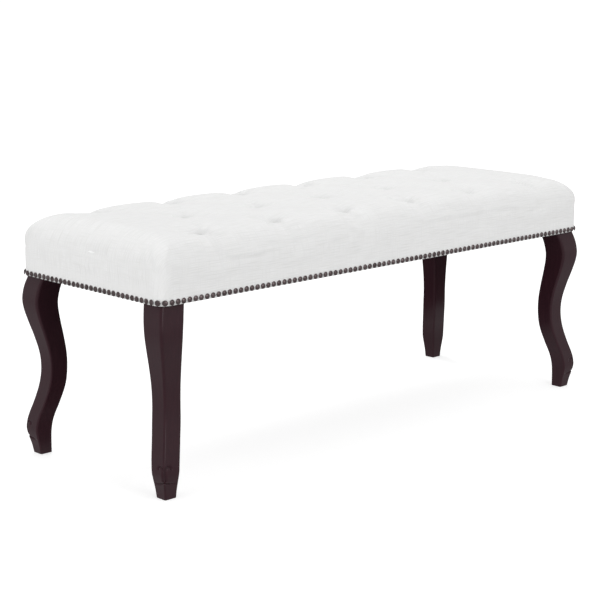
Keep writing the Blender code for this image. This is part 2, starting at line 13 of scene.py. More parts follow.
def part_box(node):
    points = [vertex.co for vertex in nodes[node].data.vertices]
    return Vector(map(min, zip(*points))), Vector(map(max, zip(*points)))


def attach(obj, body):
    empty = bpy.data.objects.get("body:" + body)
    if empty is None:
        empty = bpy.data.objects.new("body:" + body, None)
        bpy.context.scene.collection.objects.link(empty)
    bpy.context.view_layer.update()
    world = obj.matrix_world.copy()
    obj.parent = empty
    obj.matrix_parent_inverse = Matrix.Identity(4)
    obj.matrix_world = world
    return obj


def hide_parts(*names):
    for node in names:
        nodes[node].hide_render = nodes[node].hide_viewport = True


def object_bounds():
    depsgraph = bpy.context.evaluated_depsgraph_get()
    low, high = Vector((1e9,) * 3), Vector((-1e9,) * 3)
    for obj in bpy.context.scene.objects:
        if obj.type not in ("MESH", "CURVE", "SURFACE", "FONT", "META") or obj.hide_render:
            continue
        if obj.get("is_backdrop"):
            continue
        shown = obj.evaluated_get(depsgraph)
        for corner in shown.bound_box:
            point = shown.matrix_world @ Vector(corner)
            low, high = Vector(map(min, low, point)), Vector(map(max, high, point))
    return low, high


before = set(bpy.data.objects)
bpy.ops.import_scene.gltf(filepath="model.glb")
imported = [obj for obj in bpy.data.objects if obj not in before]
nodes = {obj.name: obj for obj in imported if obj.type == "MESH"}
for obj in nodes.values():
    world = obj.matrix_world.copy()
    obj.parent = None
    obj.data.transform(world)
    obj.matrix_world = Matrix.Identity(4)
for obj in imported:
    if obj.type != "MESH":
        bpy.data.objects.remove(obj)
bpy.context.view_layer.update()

# --- Camera -----------------------------------------------------------------------------------------
# A long lens, a little above the seat, looks at the bench's front left corner.
CAMERA_PLACE = Vector((-2.3434, -2.4146, 0.9586))
CAMERA_AZIMUTH = math.radians(-43.433)
CAMERA_ELEVATION = math.radians(11.820)
CAMERA_ROLL = math.radians(-0.107)
CAMERA_LENS = 97.72

look_back = Vector((
    math.sin(CAMERA_AZIMUTH) * math.cos(CAMERA_ELEVATION),
    -math.cos(CAMERA_AZIMUTH) * math.cos(CAMERA_ELEVATION),
    math.sin(CAMERA_ELEVATION),
))
camera = bpy.data.objects.new("camera", bpy.data.cameras.new("camera"))
camera.data.lens = CAMERA_LENS
camera.data.sensor_width = 36.0
camera.location = CAMERA_PLACE
camera.rotation_mode = "QUATERNION"
camera.rotation_quaternion = (
    look_back.to_track_quat("Z", "Y") @ Quaternion((0, 0, 1), CAMERA_ROLL))
bpy.context.scene.collection.objects.link(camera)
bpy.context.scene.camera = camera
bpy.context.scene.view_settings.view_transform = "Standard"

# --- Studio -----------------------------------------------------------------------------------------
# A white sweep under a white tent, brightest at its horizon, with a softbox high behind, a fill in front
# just above the seat, and a low fill at the left end. The sweep glows, so that it stays white, and it
# throws no light on the bench.
SWEEP_SIZE = 600.0
TENT_ABOVE = 0.80
TENT_BELOW = 0.70
TENT_HORIZON = 1.03
FLAG_HEIGHT = 0.34
LIGHT_TARGET = Vector((0, 0, 0.3))
# Each light is (name, place, size, power, whether it lights matt surfaces, whether it shows in gloss).
# The end fill stays out of the gloss, and the glint, which only picks out edges, is in nothing else.
LIGHTS = (
    ("key_softbox", (0.5, 1.6, 3.3), 1.2, 33.0, True, True),
    ("front_fill", (-0.2, -4.0, 1.90), 2.0, 51.0, True, True),
    ("end_fill", (-4.8, 0.2, 0.30), 2.0, 88.0, True, False),
    ("edge_glint", (-3.3, -3.1, 1.3), 1.2, 2.0, False, True),
)


def linear(code):
    """A six-digit sRGB colour as linear RGBA."""
    shares = [int(code[i:i + 2], 16) / 255 for i in (0, 2, 4)]
    return [*(s / 12.92 if s <= 0.04045 else ((s + 0.055) / 1.055) ** 2.4 for s in shares), 1.0]


def add_node(tree, kind, settings, links=()):
    """Adds a node, sets its properties and inputs, and links its inputs from other nodes' outputs."""
    node = tree.nodes.new(kind)
    for key, value in settings.items():
        if isinstance(key, str) and hasattr(node, key):
            setattr(node, key, value)
        else:
            node.inputs[key].default_value = value
    for key, source in dict(links).items():
        tree.links.new(source, node.inputs[key])
    return node


def new_finish(name, **settings):
    """A material, with its shader's plain inputs set by name, and the tree and shader to add to."""
    finish = bpy.data.materials.new(name)
    finish.use_nodes = True
    shader = finish.node_tree.nodes["Principled BSDF"]
    for key, value in settings.items():
        shader.inputs[key.replace("_", " ")].default_value = value
    return finish, finish.node_tree, shader


world = bpy.data.worlds.new("tent")
world.use_nodes = True
bpy.context.scene.world = world
tent = world.node_tree
heading = add_node(tent, "ShaderNodeTexCoord", {})
height = add_node(tent, "ShaderNodeSeparateXYZ", {}, {"Vector": heading.outputs["Generated"]})
glow_below = add_node(
    tent, "ShaderNodeMapRange",
    {"From Min": -0.12, "From Max": -0.02, "To Min": TENT_BELOW, "To Max": TENT_HORIZON},
    {"Value": height.outputs["Z"]})
glow_above = add_node(
    tent, "ShaderNodeMapRange",
    {"From Min": 0.03, "From Max": 0.10, "To Min": TENT_HORIZON, "To Max": TENT_ABOVE},
    {"Value": height.outputs["Z"]})
glow = add_node(tent, "ShaderNodeMath", {"operation": "MINIMUM"},
                {0: glow_below.outputs["Result"], 1: glow_above.outputs["Result"]})
tent.links.new(glow.outputs["Value"], tent.nodes["Background"].inputs["Strength"])
tent.nodes["Background"].inputs["Color"].default_value = linear("ffffff")

bpy.ops.object.select_all(action="DESELECT")
bpy.ops.mesh.primitive_plane_add(size=SWEEP_SIZE, location=(0, 0, 0))
sweep = bpy.context.object
sweep.name = "sweep"
sweep.visible_diffuse = False
sweep.visible_glossy = False
white_paper, tree, shader = new_finish(
    "matt white paper", Base_Color=linear("c8c8c8"), Roughness=1.0, Specular_IOR_Level=0.0,
    Emission_Color=linear("ffffff"), Emission_Strength=0.62)
sweep.data.materials.append(white_paper)
sweep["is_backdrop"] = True

# Three black flags, seen only by reflections, keep the inner faces of the legs dark.
for name, left, right, depth in (
    ("flag_middle", -0.56, 1.1, 0.0),
    ("flag_back", 0.15, 0.56, 0.33),
    ("flag_left", -0.60, -0.1, 0.13),
):
    bpy.ops.mesh.primitive_plane_add(
        size=1, location=((left + right) / 2, depth, FLAG_HEIGHT / 2), rotation=(math.pi / 2, 0, 0))
    flag = bpy.context.object
    flag.name = name
    flag.scale = (right - left, FLAG_HEIGHT, 1)
    for sight in ("camera", "diffuse", "transmission", "volume_scatter", "shadow"):
        setattr(flag, f"visible_{sight}", False)
    black_felt, tree, shader = new_finish(
        "black felt flag", Base_Color=linear("050505"), Roughness=1.0, Specular_IOR_Level=0.0)
    flag.data.materials.append(black_felt)
    flag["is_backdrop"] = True

for name, place, size, power, lights_matt, shows_in_gloss in LIGHTS:
    lamp = bpy.data.objects.new(name, bpy.data.lights.new(name, "AREA"))
    lamp.data.shape = "SQUARE"
    lamp.data.size = size
    lamp.data.energy = power
    lamp.location = place
    lamp.visible_diffuse = lights_matt
    lamp.visible_glossy = shows_in_gloss
    lamp.rotation_mode = "QUATERNION"
    lamp.rotation_quaternion = (Vector(place) - LIGHT_TARGET).to_track_quat("Z", "Y")
    bpy.context.scene.collection.objects.link(lamp)

# --- Frame and deck ---------------------------------------------------------------------------------
# Sawn poplar rails, cross rails and corner blocks, glued, under a birch plywood deck. The cover hides
# them, so they keep their own shape and get bare wood: matt, with the grain along each piece.
POPLAR_GRAIN = 0.004
PLY_PAIR = 0.003


def paint(finish, *node_names):
    """Gives carried-over pieces a finish in all their material slots."""
    for node_name in node_names:
        slots = nodes[node_name].data.materials
        if not slots:
            slots.append(finish)
        for i in range(len(slots)):
            slots[i] = finish


def wood_figure(tree, shader, along, width, light, dark):
    """Grain drawn along one axis, as wide as its growth rings, in the colour and as a slight relief."""
    stretch = [1.0, 1.0, 1.0]
    stretch[along] = 0.05
    place = add_node(tree, "ShaderNodeTexCoord", {})
    drawn = add_node(tree, "ShaderNodeMapping", {"Scale": stretch}, {"Vector": place.outputs["Object"]})
    grain = add_node(tree, "ShaderNodeTexNoise", {"Scale": 0.5 / width, "Detail": 5.0},
                     {"Vector": drawn.outputs["Vector"]})
    tint = add_node(tree, "ShaderNodeMix", {"data_type": "RGBA", 6: linear(dark), 7: linear(light)},
                    {0: grain.outputs["Fac"]})
    relief = add_node(tree, "ShaderNodeBump", {"Strength": 0.4, "Distance": 0.0003},
                      {"Height": grain.outputs["Fac"]})
    tree.links.new(tint.outputs[2], shader.inputs["Base Color"])
    tree.links.new(relief.outputs["Normal"], shader.inputs["Normal"])
    return grain


# Poplar, sawn and left bare: pale green-brown and dull, with soft streaks.
for name, along, members in (
    ("sawn poplar, grain along", 0, ("rail_front", "rail_back")),
    ("sawn poplar, grain across", 1, ("rail_left", "rail_right", "cross_rail_left", "cross_rail_right")),
    ("sawn poplar, blocks", 0, [n for n in nodes if n.startswith("corner_block_")]),
):
    poplar, tree, shader = new_finish(name, Roughness=0.8, Specular_IOR_Level=0.3)
    wood_figure(tree, shader, along, POPLAR_GRAIN, "d9c9a3", "b49a6c")
    paint(poplar, *members)

# Birch plywood: cream faces, and brown glue lines along the edges.
plywood, tree, shader = new_finish("birch plywood", Roughness=0.7, Specular_IOR_Level=0.3)
grain = wood_figure(tree, shader, 0, POPLAR_GRAIN, "e6d2aa", "cdb384")
place = add_node(tree, "ShaderNodeTexCoord", {})
plies = add_node(tree, "ShaderNodeTexWave", {"bands_direction": "Z", "Scale": math.tau / 20 / PLY_PAIR},
                 {"Vector": place.outputs["Object"]})
glue = add_node(tree, "ShaderNodeMix", {"data_type": "RGBA", "blend_type": "MULTIPLY", 0: 0.35},
                {6: shader.inputs["Base Color"].links[0].from_socket, 7: plies.outputs["Color"]})
tree.links.new(glue.outputs[2], shader.inputs["Base Color"])
paint(plywood, "seat_deck")

# --- Leg bolts, nuts and dowels ---------------------------------------------------------------------
# A zinc-plated hanger bolt and tee nut draw each leg up to the frame, and a beech dowel stops it from
# turning. All are hidden in the wood.
# Bright zinc plate: a bluish silver, a little cloudy.
zinc, tree, shader = new_finish("bright zinc plate", Metallic=1.0)
place = add_node(tree, "ShaderNodeTexCoord", {})
cloud = add_node(tree, "ShaderNodeTexNoise", {"Scale": 0.5 / 0.003, "Detail": 3.0},
                 {"Vector": place.outputs["Object"]})
haze = add_node(tree, "ShaderNodeMapRange", {"To Min": 0.28, "To Max": 0.45},
                {"Value": cloud.outputs["Fac"]})
tint = add_node(tree, "ShaderNodeMix", {"data_type": "RGBA", 6: linear("b4b9be"), 7: linear("d3d6da")},
                {0: cloud.outputs["Fac"]})
tree.links.new(haze.outputs["Result"], shader.inputs["Roughness"])
tree.links.new(tint.outputs[2], shader.inputs["Base Color"])
paint(zinc, *(n for n in nodes if n.startswith(("hanger_bolt_", "tee_nut_"))))

# Beech dowel: pinkish brown with short flecks.
beech, tree, shader = new_finish("beech dowel", Roughness=0.65, Specular_IOR_Level=0.3)
wood_figure(tree, shader, 2, 0.0012, "d8b48a", "bf9467")
paint(beech, *(n for n in nodes if n.startswith("dowel_")))

# --- Foam and wadding -------------------------------------------------------------------------------
# A cut foam pad lies on the deck, with a roll of foam round the edge, and a layer of polyester wadding
# goes over it and down the sides. Both take the seat's outline: walls, a rolled edge and a flat top,
# drawn down at the buttons.
seat_low, seat_high = (Vector(corner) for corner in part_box("seat_cover"))
deck_top = Vector(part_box("seat_deck")[1]).z
HALF_LENGTH = seat_high.x
HALF_DEPTH = seat_high.y
SEAT_BOTTOM = seat_low.z
WALL_HEIGHT = 0.074
WALL_TOP = SEAT_BOTTOM + WALL_HEIGHT
ROLL_WIDTH = 0.060
ROLL_HEIGHT = seat_high.z - WALL_TOP
CORNER_RADIUS = 0.025
TOP_CORNER_RADIUS = 0.034
FOAM_CELL = 0.016
FOAM_INSET = 0.0081
# The wadding is pressed flat between the cover and the foam.
WADDING_CELL = 0.0086
WADDING_INSET = 0.0046
WADDING_THICKNESS = 0.0033
WADDING_ABOVE_HEM = 0.010
TUFT_DEPTH = 0.022
BUTTON_RADIUS = 0.008
# Round each button the cloth dips gently over the reach, then steeply within the pit.
TUFT_REACH = 0.040
PULL_SHARE = 0.15
PIT_RADIUS = 0.026
PIT_CURVE = 1.5
# Folds between neighbouring buttons, and from the outer buttons to the edge.
FOLD_AT_BUTTON = 0.0062
FOLD_BETWEEN = 0.0030
FOLD_AT_EDGE = 0.0030
FOLD_SPREAD = 0.021
FOLD_SHARPNESS = 0.0035
# The pull fades out down this much of the wall.
PULL_FADES_OVER = 0.03

tufts = []
for node_name in sorted(n for n in nodes if n.startswith("tuft_button_")):
    low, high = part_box(node_name)
    tufts.append(((low[0] + high[0]) / 2, (low[1] + high[1]) / 2))
outer_row = max(y for x, y in tufts)
pitch = min(abs(a[0] - b[0]) for a in tufts for b in tufts if a[1] == b[1] and a != b)
roll_arc = math.pi / 2 * (ROLL_WIDTH + ROLL_HEIGHT) / 2
wall_drop = WALL_TOP - SEAT_BOTTOM

# Each fold is (start x, start y, end x, end y, depth at the start, halfway, at the end).
folds = []
for i, (ax, ay) in enumerate(tufts):
    for bx, by in tufts[i + 1:]:
        if abs(abs(by - ay) - outer_row) < 0.01 and abs(bx - ax) < 0.6 * pitch:
            folds.append((ax, ay, bx, by, FOLD_AT_BUTTON, FOLD_BETWEEN, FOLD_AT_BUTTON))
    if abs(ay) > 0.01:
        folds.append((ax, ay, ax, math.copysign(HALF_DEPTH, ay), FOLD_AT_BUTTON,
                      0.9 * FOLD_AT_BUTTON, FOLD_AT_EDGE))
    if abs(ax) + pitch > HALF_LENGTH and abs(ay) > 0.01:
        folds.append((ax, ay, math.copysign(HALF_LENGTH - 0.02, ax), math.copysign(HALF_DEPTH - 0.02, ay),
                      FOLD_AT_BUTTON, 0.0020, 0.0008))
    if abs(ax) + 0.65 * pitch > HALF_LENGTH - pitch * 0.7 and abs(abs(ay) - outer_row) < 0.01:
        folds.append((ax, ay, math.copysign(HALF_LENGTH, ax), ay, FOLD_AT_BUTTON, 0.0030, 0.0010))


def drawn_down(x, y):
    """How far the buttons draw the cloth in, at places on the seat's plan."""
    pull = np.zeros_like(x)
    for ax, ay, bx, by, at_start, halfway, at_end in folds:
        length = math.hypot(bx - ax, by - ay)
        along = ((x - ax) * (bx - ax) + (y - ay) * (by - ay)) / length ** 2
        share = np.clip(along, 0, 1)
        across = np.hypot(x - ax - share * (bx - ax), y - ay - share * (by - ay))
        depth = np.where(share < 0.5, at_start + (halfway - at_start) * (1 - (1 - 2 * share) ** 2),
                         halfway + (at_end - halfway) * (2 * share - 1) ** 2)
        fall = np.exp(-(np.sqrt(across ** 2 + FOLD_SHARPNESS ** 2) - FOLD_SHARPNESS) / FOLD_SPREAD)
        pull = np.maximum(pull, depth * fall)
    for ax, ay in tufts:
        away = np.hypot(x - ax, y - ay)
        pull += PULL_SHARE * (TUFT_DEPTH - FOLD_AT_BUTTON) * np.exp(-(away / TUFT_REACH) ** 2)
        pit = np.clip((PIT_RADIUS - away) / (PIT_RADIUS - 1.05 * BUTTON_RADIUS), 0, 1)
        pull += (1 - PULL_SHARE) * (TUFT_DEPTH - FOLD_AT_BUTTON) * pit ** PIT_CURVE
    return pull


def over_seat(flat, inset=0.0):
    """Lays points of the flat cloth over the seat: returns places, outward normals, and thread lines.

    The flat cloth's middle is the flat top. Further out, it follows the roll, the wall, and the hem.
    """
    top_x, top_y = HALF_LENGTH - ROLL_WIDTH, HALF_DEPTH - ROLL_WIDTH
    a, b = flat[:, 0], flat[:, 1]
    beyond_x, beyond_y = np.abs(a) - top_x, np.abs(b) - top_y
    run = np.maximum(beyond_x, beyond_y)
    lengthways = beyond_y >= beyond_x
    turn = np.clip(run / roll_arc, 0, 1) * math.pi / 2
    hem = np.clip(run - roll_arc - wall_drop, 0, None)
    edge = np.where(run > 0, ROLL_WIDTH * (1 - np.sin(turn)), ROLL_WIDTH - run) + hem
    half_x, half_y = HALF_LENGTH - edge, HALF_DEPTH - edge
    ease = np.clip(edge / ROLL_WIDTH, 0, 1)
    radius = CORNER_RADIUS + (TOP_CORNER_RADIUS - CORNER_RADIUS) * ease
    radius = np.where(run < 0, TOP_CORNER_RADIUS + run, radius)
    radius = np.where(hem > 0, CORNER_RADIUS - hem, radius)
    radius = np.clip(radius, 1e-6, None)

    # Along each side, the cloth's width is shared out over the straight and half of each corner.
    share = np.where(lengthways, np.abs(a) / np.maximum(top_x + run, 1e-9),
                     np.abs(b) / np.maximum(top_y + run, 1e-9))
    straight = np.where(lengthways, half_x, half_y) - radius
    walk = share * (straight + radius * math.pi / 4)
    angle = np.clip((walk - straight) / radius, 0, math.pi / 4)
    side_on = np.minimum(walk, straight) + radius * np.sin(angle)
    out_to = np.where(lengthways, half_y, half_x) - radius * (1 - np.cos(angle))
    x = np.copysign(np.where(lengthways, side_on, out_to), a)
    y = np.copysign(np.where(lengthways, out_to, side_on), b)
    plan_x = np.copysign(np.where(lengthways, np.sin(angle), np.cos(angle)), a)
    plan_y = np.copysign(np.where(lengthways, np.cos(angle), np.sin(angle)), b)

    wall = np.clip(run - roll_arc, 0, wall_drop)
    z = WALL_TOP + ROLL_HEIGHT * np.cos(turn) - wall
    lean = np.where(hem > 0, 0.0, np.sin(turn) * ROLL_HEIGHT)
    rise = np.where(hem > 0, -1.0, np.cos(turn) * ROLL_WIDTH)
    size = np.hypot(lean, rise)
    normal = np.stack([plan_x * lean / size, plan_y * lean / size, rise / size], axis=1)
    pull = drawn_down(x, y) * np.clip(1 - wall / PULL_FADES_OVER, 0, 1) * (hem <= 0)
    places = np.stack([x, y, z], axis=1) - normal * (pull + inset)[:, None]
    drop = np.clip(run - (ROLL_WIDTH - edge), 0, None)
    threads = np.stack([x + plan_x * drop, y + plan_y * drop], axis=1)
    return places, normal, threads


def cut_cloth(name, cell, margin):
    """A flat rectangle of square cells about this big, reaching past the flat top by the margin."""
    top_x, top_y = HALF_LENGTH - ROLL_WIDTH, HALF_DEPTH - ROLL_WIDTH
    bpy.ops.object.select_all(action="DESELECT")
    bpy.ops.mesh.primitive_grid_add(
        x_subdivisions=2 * round(top_x / cell), y_subdivisions=2 * round(top_y / cell), size=2)
    blank = bpy.context.object
    blank.name = name
    blank.data.name = name
    bpy.ops.object.mode_set(mode="EDIT")
    bpy.ops.mesh.select_all(action="SELECT")
    bpy.ops.transform.resize(value=(top_x, top_y, 1), center_override=(0, 0, 0))
    bpy.ops.mesh.region_to_loop()
    rounds = round(margin / cell)
    for i in range(rounds):
        before, after = margin * i / rounds, margin * (i + 1) / rounds
        bpy.ops.mesh.extrude_edges_move()
        bpy.ops.transform.resize(
            value=((top_x + after) / (top_x + before), (top_y + after) / (top_y + before), 1),
            center_override=(0, 0, 0))
    bpy.ops.object.mode_set(mode="OBJECT")
    return blank


def read_places(piece):
    """A piece's vertices as an array."""
    places = np.empty(3 * len(piece.data.vertices))
    piece.data.vertices.foreach_get("co", places)
    return places.reshape(-1, 3)


def write_places(piece, places):
    """Moves a piece's vertices."""
    piece.data.vertices.foreach_set("co", np.asarray(places, dtype=np.float64).ravel())
    piece.data.update()


def apply_modifier(piece, kind, **settings):
    """Adds a modifier to a piece and applies it."""
    bpy.ops.object.select_all(action="DESELECT")
    piece.select_set(True)
    bpy.context.view_layer.objects.active = piece
    modifier = piece.modifiers.new(kind.title(), kind)
    for key, value in settings.items():
        setattr(modifier, key, value)
    bpy.ops.object.modifier_apply(modifier=modifier.name)


def face_out(piece, angle=None):
    """Merges doubles, turns the faces outwards, and smooths all but the edges sharper than the angle."""
    bpy.ops.object.select_all(action="DESELECT")
    piece.select_set(True)
    bpy.context.view_layer.objects.active = piece
    bpy.ops.object.mode_set(mode="EDIT")
    bpy.ops.mesh.select_all(action="SELECT")
    bpy.ops.mesh.remove_doubles(threshold=1e-6)
    bpy.ops.mesh.normals_make_consistent(inside=False)
    bpy.ops.object.mode_set(mode="OBJECT")
    if angle is None:
        bpy.ops.object.shade_smooth()
    else:
        bpy.ops.object.shade_smooth_by_angle(angle=math.radians(angle))


# The foam pad: over the roll and down to the deck, then closed underneath.
foam_pad = cut_cloth("foam_pad_soft", FOAM_CELL, roll_arc)
places, normal, threads = over_seat(read_places(foam_pad), FOAM_INSET)
write_places(foam_pad, places)
bpy.ops.object.mode_set(mode="EDIT")
bpy.ops.mesh.select_all(action="SELECT")
bpy.ops.mesh.region_to_loop()
bpy.ops.mesh.extrude_edges_move()
bpy.ops.transform.resize(value=(1, 1, 0), center_override=(0, 0, deck_top))
bpy.ops.mesh.edge_face_add()
bpy.ops.object.mode_set(mode="OBJECT")
face_out(foam_pad, 50)

# Polyurethane foam: cream, quite matt, with open cells about 1 mm across.
foam, tree, shader = new_finish("cut polyurethane foam", Roughness=1.0, Specular_IOR_Level=0.2)
place = add_node(tree, "ShaderNodeTexCoord", {})
cells = add_node(tree, "ShaderNodeTexVoronoi", {"Scale": 1 / 0.001}, {"Vector": place.outputs["Object"]})
tint = add_node(tree, "ShaderNodeMix", {"data_type": "RGBA", 6: linear("d8c795"), 7: linear("f3e7c0")},
                {0: cells.outputs["Distance"]})
relief = add_node(tree, "ShaderNodeBump", {"Strength": 0.6, "Distance": 0.0005},
                  {"Height": cells.outputs["Distance"]})
tree.links.new(tint.outputs[2], shader.inputs["Base Color"])
tree.links.new(relief.outputs["Normal"], shader.inputs["Normal"])
foam_pad.data.materials.append(foam)
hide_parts("foam_pad")
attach(foam_pad, "root")

# The wadding: one layer, over the pad and down the sides to the hem.
wadding = cut_cloth("wadding_layer", WADDING_CELL, roll_arc + wall_drop - WADDING_ABOVE_HEM)
places, normal, threads = over_seat(read_places(wadding), WADDING_INSET)
write_places(wadding, places)
face_out(wadding)
apply_modifier(wadding, "SOLIDIFY", thickness=WADDING_THICKNESS, offset=-1.0)

# Polyester wadding: white and fluffy, with loose fibres lying all ways.
fluff, tree, shader = new_finish("polyester wadding", Roughness=1.0, Specular_IOR_Level=0.2)
place = add_node(tree, "ShaderNodeTexCoord", {})
fibres = add_node(tree, "ShaderNodeTexNoise", {"Scale": 0.5 / 0.004, "Detail": 8.0, "Distortion": 1.5},
                  {"Vector": place.outputs["Object"]})
tint = add_node(tree, "ShaderNodeMix", {"data_type": "RGBA", 6: linear("dedede"), 7: linear("fafafa")},
                {0: fibres.outputs["Fac"]})
relief = add_node(tree, "ShaderNodeBump", {"Strength": 0.8, "Distance": 0.001},
                  {"Height": fibres.outputs["Fac"]})
tree.links.new(tint.outputs[2], shader.inputs["Base Color"])
tree.links.new(relief.outputs["Normal"], shader.inputs["Normal"])
wadding.data.materials.append(fluff)
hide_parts("wadding")
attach(wadding, "root")

# --- Cover ------------------------------------------------------------------------------------------
# One width of slubby off-white linen, stretched over the wadding, pulled down at the buttons, folded at
# the corners, and turned under the frame. The filling's push swells it between the buttons.
COVER_CELL = 0.0086
COVER_THICKNESS = 0.0015
TURN_UNDER = 0.014
SWELL_FRAMES = 24
SWELL_LIMIT = 0.004
HELD_BELOW_WALL_TOP = 0.03
CREASE_SEED = 11
CREASE_SPACING = 0.035
PUCKERS_AT_BUTTON = 7
PUCKER_WIDTH = 0.0042
CORNER_FOLD_WIDTH = 0.0048


def lay_threads(piece, threads):
    """Writes where the threads run, in metres, as the piece's UV map."""
    corners = np.empty(len(piece.data.loops), dtype=np.int32)
    piece.data.loops.foreach_get("vertex_index", corners)
    layer = piece.data.uv_layers.active or piece.data.uv_layers.new(name="threads")
    layer.name = "threads"
    layer.data.foreach_set("uv", threads[corners].ravel())


def read_threads(piece):
    """Where the threads run at each vertex."""
    corners = np.empty(len(piece.data.loops), dtype=np.int32)
    piece.data.loops.foreach_get("vertex_index", corners)
    laid = np.empty(2 * len(corners))
    piece.data.uv_layers.active.data.foreach_get("uv", laid)
    threads = np.zeros((len(piece.data.vertices), 2))
    threads[corners] = laid.reshape(-1, 2)
    return threads


def swell(piece, held, limit):
    """Lets the filling push the cloth out where it isn't held, by cloth simulation, up to the limit."""
    start = read_places(piece)
    group = piece.vertex_groups.new(name="held")
    group.add([int(i) for i in np.nonzero(held)[0]], 1.0, "REPLACE")
    cloth = piece.modifiers.new("Cloth", "CLOTH")
    cloth.settings.quality = 6
    cloth.settings.mass = 0.3
    cloth.settings.tension_stiffness = cloth.settings.compression_stiffness = 15
    cloth.settings.shear_stiffness = 5
    cloth.settings.bending_stiffness = 0.4
    cloth.settings.vertex_group_mass = "held"
    cloth.settings.use_pressure = True
    cloth.settings.uniform_pressure_force = 3.0
    cloth.settings.shrink_min = -0.012
    cloth.settings.effector_weights.gravity = 0.0
    cloth.collision_settings.use_collision = False
    cloth.point_cache.frame_start, cloth.point_cache.frame_end = 1, SWELL_FRAMES
    for step in range(1, SWELL_FRAMES + 1):
        bpy.context.scene.frame_set(step)
    settled = piece.evaluated_get(bpy.context.evaluated_depsgraph_get())
    moved = np.empty(3 * len(start))
    settled.data.vertices.foreach_get("co", moved)
    piece.modifiers.remove(cloth)
    piece.vertex_groups.remove(group)
    bpy.context.scene.frame_set(1)
    shift = moved.reshape(-1, 3) - start
    length = np.linalg.norm(shift, axis=1, keepdims=True)
    write_places(piece, start + shift * np.tanh(length / limit) * limit / np.maximum(length, 1e-9))


def press_crease(places, normals, threads, line, depth, width):
    """Presses a crease along a line on the cloth: a groove with a soft ridge on one side."""
    starts, ends = np.array(line[:-1]), np.array(line[1:])
    lengths = np.linalg.norm(ends - starts, axis=1)
    before = np.concatenate([[0], np.cumsum(lengths)[:-1]])
    near = np.full(len(places), 1e9)
    side = np.zeros(len(places))
    share = np.zeros(len(places))
    for start, end, length, walked in zip(starts, ends, lengths, before):
        way = (end - start) / length
        along = np.clip((threads - start) @ way, 0, length)
        off = threads - start - along[:, None] * way
        away = np.hypot(off[:, 0], off[:, 1])
        closer = away < near
        near = np.where(closer, away, near)
        side = np.where(closer, way[0] * off[:, 1] - way[1] * off[:, 0], side)
        share = np.where(closer, (walked + along) / lengths.sum(), share)
    offset = np.copysign(near, side) / width
    shape = -np.exp(-offset ** 2) + 0.55 * np.exp(-((offset - 1.9) / 1.1) ** 2)
    fade = np.sin(np.pi * np.clip(share, 0, 1)) ** 0.7
    return places + normals * (depth * shape * fade)[:, None]


cover = cut_cloth("seat_cover_linen", COVER_CELL, roll_arc + wall_drop + TURN_UNDER)
flat_cloth = read_places(cover)
places, normal, threads = over_seat(flat_cloth)
write_places(cover, places)
lay_threads(cover, threads)
to_button = np.min([np.hypot(places[:, 0] - x, places[:, 1] - y) for x, y in tufts], axis=0)
held = (to_button < 1.4 * BUTTON_RADIUS) | (places[:, 2] < WALL_TOP - HELD_BELOW_WALL_TOP)
swell(cover, held, SWELL_LIMIT)
apply_modifier(cover, "SUBSURF", levels=1, render_levels=1)

places, threads = read_places(cover), read_threads(cover)
normals = np.empty(3 * len(places))
cover.data.vertices.foreach_get("normal", normals)
normals = normals.reshape(-1, 3)
chance = np.random.default_rng(CREASE_SEED)
rim_u = HALF_LENGTH + roll_arc - ROLL_WIDTH
rim_v = HALF_DEPTH + roll_arc - ROLL_WIDTH
# Long thin creases run beside the top of the wall, where the cloth was pulled over the edge.
for sign_u, sign_v, reach in (
    (0, -1, HALF_LENGTH), (0, 1, HALF_LENGTH), (-1, 0, HALF_DEPTH), (1, 0, HALF_DEPTH),
):
    for i in range(round(reach / CREASE_SPACING)):
        middle = chance.uniform(-0.92, 0.92) * (reach - 0.03)
        half = chance.uniform(0.03, 0.10) * min(1.0, reach / 0.4)
        off = chance.normal(0.0, 0.006)
        wander = chance.uniform(-0.003, 0.003, 4)
        line = []
        for k in range(4):
            along = np.clip(middle + half * (2 * k / 3 - 1), 0.03 - reach, reach - 0.03)
            line.append((along, sign_v * (rim_v + off + wander[k])) if sign_v
                        else (sign_u * (rim_u + off + wander[k]), along))
        depth, width = chance.uniform(0.0009, 0.0018), chance.uniform(0.0032, 0.0044)
        places = press_crease(places, normals, threads, line, depth, width)
# Short puckers lead away from each button.
for x, y in tufts:
    for i in range(PUCKERS_AT_BUTTON):
        angle = (i + chance.uniform(-0.35, 0.35)) * math.tau / PUCKERS_AT_BUTTON
        reach = chance.uniform(0.030, 0.052)
        bend = angle + chance.uniform(-0.25, 0.25)
        line = [(x + 0.013 * math.cos(angle), y + 0.013 * math.sin(angle)),
                (x + reach * math.cos(bend), y + reach * math.sin(bend))]
        depth = chance.uniform(0.0010, 0.0022)
        places = press_crease(places, normals, threads, line, depth, PUCKER_WIDTH)
# At each corner the spare cloth is folded in under the roll.
for sign_x in (-1, 1):
    for sign_y in (-1, 1):
        for line, depth in (
            (((0.640, 0.205), (0.622, 0.196), (0.603, 0.180), (0.578, 0.168)), 0.0022),
            (((0.598, 0.252), (0.584, 0.236), (0.566, 0.214), (0.548, 0.190)), 0.0020),
            (((0.612, 0.245), (0.604, 0.226), (0.590, 0.205)), 0.0016),
        ):
            line = [(sign_x * u, sign_y * v) for u, v in line]
            places = press_crease(places, normals, threads, line, depth, CORNER_FOLD_WIDTH)
write_places(cover, places)
face_out(cover)
apply_modifier(cover, "SOLIDIFY", thickness=COVER_THICKNESS, offset=-1.0)

